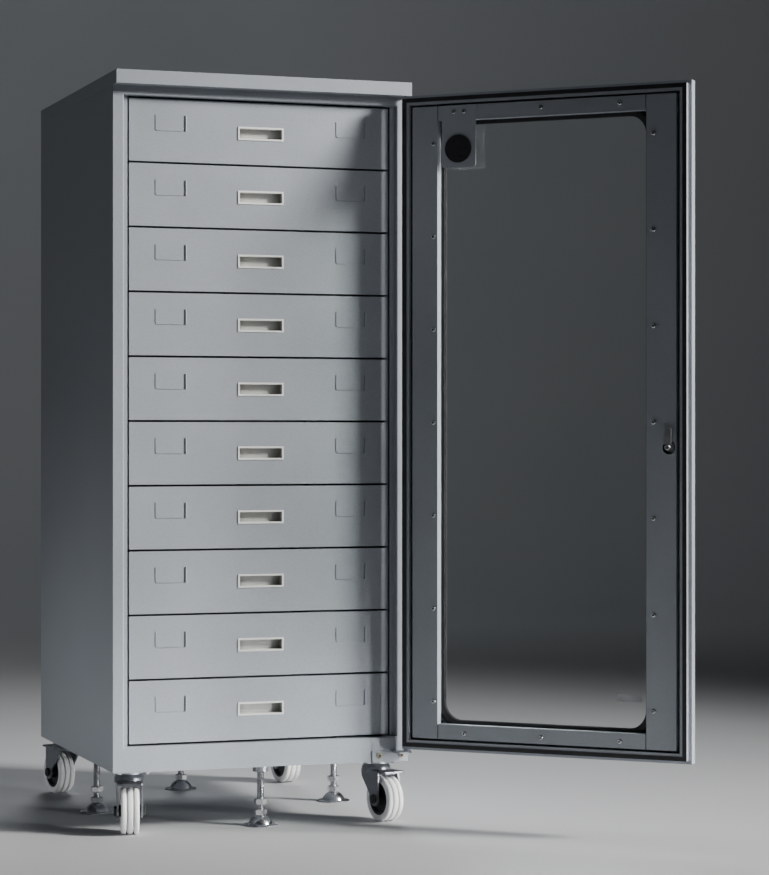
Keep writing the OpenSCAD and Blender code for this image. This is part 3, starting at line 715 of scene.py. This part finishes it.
def socket_screw(work, place, head_radius, head_height, socket, length, shank_radius):
    """A pan head whose top is at the origin of place, with a hexagon socket, and its shank."""
    shank = [(-length, shank_radius), (-head_height - 0.1 * MM, shank_radius)]
    lathe(work, shank, 20, place)
    edge = 0.4 * MM
    profile = [(-head_height, head_radius - 0.1 * MM), (-head_height + edge, head_radius)]
    land = socket + edge
    arc_steps = 6
    for step in range(1, arc_steps):
        angle = math.pi / 2 * step / arc_steps
        profile.append((-head_height + edge + (head_height - edge) * math.sin(angle),
                        land + (head_radius - land) * math.cos(angle)))
    profile += [(0.0, land), (-0.2 * MM, socket), (-0.7 * head_height, socket)]
    sides, flat = 24, 0.92
    rings = []
    for depth, (height, radius) in enumerate(profile):
        in_socket = depth >= len(profile) - 2
        ring = []
        for step in range(sides):
            angle = 2 * math.pi * step / sides
            reach = radius * flat / math.cos(off_the_flat(angle)) if in_socket else radius
            ring.append(work.verts.new(place @ Vector(
                (reach * math.cos(angle), reach * math.sin(angle), height))))
        rings.append(ring)
    join_rings(work, rings)


def make_door_screws():
    """Pan heads with a hexagon socket in place of each plain screw."""
    work = bmesh.new()
    shut = turn_door.inverted()
    plain = welded("door_screws")
    screws = [[shut @ vertex.co for vertex in group] for group in solids_of(plain)]
    plain.free()
    for corners in screws:
        low, high = reach_of(corners)
        place = turn_door @ Matrix.Translation(((low.x + high.x) / 2, high.y,
                                                (low.z + high.z) / 2)) @ FACE_IN
        socket_screw(work, place, 4.0 * MM, 2.4 * MM, 1.6 * MM, high.y - low.y, 2.4 * MM)
    add_piece("door_screws_finish", work, "door", "zinc", ["door_screws"], "screw_steel")


def make_hinge_screws():
    """The lower hinge plate's two screws, which face forwards, with a dark disc of painted shade
    deep in each socket.
    """
    work = bmesh.new()
    socket_shade = bmesh.new()
    head, socket = 2.8 * MM, 2.5 * MM
    plain = welded("body_fasteners")
    for group in solids_of(plain):
        low, high = reach_of([vertex.co for vertex in group])
        if low.y < hinge_front and high.y - low.y > 5 * MM:
            place = Matrix.Translation(((low.x + high.x) / 2, low.y,
                                        (low.z + high.z) / 2)) @ FACE_OUT
            socket_screw(work, place, 5.0 * MM, head, socket, high.y - low.y, 2.4 * MM)
            # a black disc inside the socket: painted shade
            lathe(socket_shade, [(-0.72 * head, 0.8 * socket), (-0.5 * head, 0.8 * socket),
                         (-0.4 * head, 0.6 * socket)], 24, place)
    plain.free()
    add_piece("hinge_screws_finish", work, "cabinet", "yellow_zinc", ["body_fasteners"])
    add_piece("hinge_screw_socket_shade", socket_shade, "cabinet", "core_black")


def rounded_plate(work, width, height, thick, radius, place):
    """A flat plate with round corners, its back on the plane z = 0 of place."""
    outline = []
    arc_steps = 6
    for quarter, (sx, sy) in enumerate(((1, 1), (-1, 1), (-1, -1), (1, -1))):
        for step in range(arc_steps + 1):
            angle = math.pi / 2 * (quarter + step / arc_steps)
            outline.append((sx * (width / 2 - radius) + radius * math.cos(angle),
                            sy * (height / 2 - radius) + radius * math.sin(angle)))
    rise = min(0.25 * thick, 0.3 * MM)
    rings = []
    for level, inset in ((0, 0), (thick - rise, 0), (thick, rise)):
        ring = []
        for x, y in outline:
            size_x = 1 - 2 * inset / width
            size_y = 1 - 2 * inset / height
            ring.append(work.verts.new(place @ Vector((x * size_x, y * size_y, level))))
        rings.append(ring)
    join_rings(work, rings)


def make_label_plate():
    """A small blank plate stuck to the inside of the glass, near the free edge."""
    low, high = shut_box("door_glass")
    width, height = 42 * MM, 11.5 * MM
    from_edge, from_foot, sunk = 33.5 * MM, 53.2 * MM, 0.05 * MM
    middle = Vector((low.x + from_edge, high.y - sunk, low.z + from_foot))
    work = bmesh.new()
    place = turn_door @ Matrix.Translation(middle) @ FACE_IN
    rounded_plate(work, width, height, 0.8 * MM, 1.2 * MM, place)
    add_piece("label_plate", work, "door", "lock_metal")


def make_cam_screw():
    """The socket screw that holds the cam on the lock's barrel."""
    lock = joints["lock_turn"]
    shut = turn_door.inverted()
    middle = shut @ Vector(lock["pos_m"])
    cam = shut_box("lock_cam")[1].y
    head = 2.2 * MM
    place = turn_door @ Matrix.Translation((middle.x, cam + head, middle.z)) @ FACE_IN
    work = bmesh.new()
    socket_screw(work, place, 4.6 * MM, head, 1.9 * MM, 4 * MM, 2.4 * MM)
    add_piece("cam_screw", work, body_of_node["lock_cam"], "lock_metal")


def make_gauge_screws():
    """Five small dark screw heads on the gauge's back."""
    low, high = shut_box("gauge")
    proud = 0.5 * MM
    work = bmesh.new()
    for across, up in ((0, 13), (9, 8), (0, 0), (-9, -8), (-1, -13)):
        spot = ((low.x + high.x) / 2 + across * MM, high.y + proud,
                (low.z + high.z) / 2 + up * MM)
        place = turn_door @ Matrix.Translation(spot) @ FACE_IN
        socket_screw(work, place, 1.7 * MM, proud, 0.8 * MM, 1.0 * MM, 0.8 * MM)
    add_piece("gauge_screws", work, "door", "core_black")


def make_gauge_dial():
    """A white dial with plain marks and a needle, seen through the glass from outside."""
    low, high = shut_box("gauge")
    middle = Vector(((low.x + high.x) / 2, low.y + 1.0 * MM, (low.z + high.z) / 2))
    face = turn_door @ Matrix.Translation(middle) @ FACE_OUT
    radius, thick = 19.6 * MM, 0.4 * MM
    dial = bmesh.new()
    lathe(dial, [(-0.1 * MM, radius), (thick - 0.1 * MM, radius), (thick, radius - 0.1 * MM)],
          64, face)
    add_piece("gauge_dial", dial, "door", "pull_plastic")
    marks = bmesh.new()
    first, last, count = math.radians(-135), math.radians(135), 27
    for step in range(count + 1):
        angle = first + (last - first) * step / count
        length = 3.4 * MM if step % 3 == 0 else 2.0 * MM
        width = 0.7 * MM if step % 3 == 0 else 0.4 * MM
        spot = face @ Matrix.Rotation(-angle, 4, "Z") @ Matrix.Translation(
            (0, radius - 1.2 * MM - length / 2, thick - 0.05 * MM))
        rounded_plate(marks, width, length, 0.12 * MM, 0.15 * MM, spot)
    needle = face @ Matrix.Rotation(math.radians(70), 4, "Z") @ Matrix.Translation(
        (0, 4.6 * MM, thick + 0.1 * MM))
    rounded_plate(marks, 0.9 * MM, 17 * MM, 0.15 * MM, 0.4 * MM, needle)
    lathe(marks, [(thick - 0.05 * MM, 2.2 * MM), (thick + 0.4 * MM, 2.2 * MM),
                  (thick + 0.55 * MM, 1.7 * MM)], 32, face)
    add_piece("gauge_marks", marks, "door", "gauge_black")


# ---------- the drawers' slides ----------

BAR_MIDDLE = 48 * MM
BAR_HALF = 6 * MM
BAR_REACH = 10.5 * MM
BAR_START = 26.6 * MM
BAR_STOP = 34.4 * MM
SLIDE_SHEET = 0.35 * MM


def make_slides(number):
    """A zinc channel folded round the bar on each side of a drawer."""
    low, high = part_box("drawer_" + number)
    inside = high.x - BAR_REACH
    middle = low.z + BAR_MIDDLE
    outer, inner = BAR_HALF + SLIDE_SHEET, BAR_HALF - 0.05 * MM
    section = [(inside, -outer), (high.x + SLIDE_SHEET, -outer), (high.x + SLIDE_SHEET, outer),
               (inside, outer), (inside, inner), (high.x - 0.05 * MM, inner),
               (high.x - 0.05 * MM, -inner), (inside, -inner)]
    work = bmesh.new()
    for side in (-1, 1):
        ends = [[work.verts.new((side * x, y, middle + z)) for x, z in section]
                for y in (low.y + BAR_START, high.y - BAR_STOP)]
        join_rings(work, ends)
    add_piece(f"drawer_{number}_slides", work, "drawer_" + number, "zinc")


# ---------- the scene ----------

SHEET_NODES = ["worktop", "left_side_panel", "right_side_panel", "back_panel", "base_pan",
               "hinge_plates", "door_shell", "glass_retainers", "gauge_bracket"]
PRESSED_NODES = ["caster_plates", "lock_cam", "lock_barrel", "gauge"]

make_camera()
make_lights()
make_floor(floor_material())
for node in nodes:
    finish_in_place(node)
for node in SHEET_NODES:
    soften(node, 0.6 * MM)
soften("front_frame", 0.6 * MM, rim=2.4 * MM)
for number in DRAWERS:
    soften("drawer_" + number, 0.7 * MM)
    soften("pull_" + number, 0.4 * MM)
    make_slides(number)
for node in PRESSED_NODES:
    soften(node, 0.35 * MM)
soften("body_fasteners", 0.35 * MM, wanted=behind_the_hinge)
for corner in CORNERS:
    soften("fork_" + corner, 0.5 * MM, finish="fork_steel")
    soften("pedal_" + corner, 0.6 * MM, finish="pedal_steel")
    make_axle_heads(corner)
    make_tyre(corner)
for which in FEET:
    make_foot(which)
make_door_screws()
make_hinge_screws()
make_label_plate()
make_gauge_dial()
make_cam_screw()
make_gauge_screws()
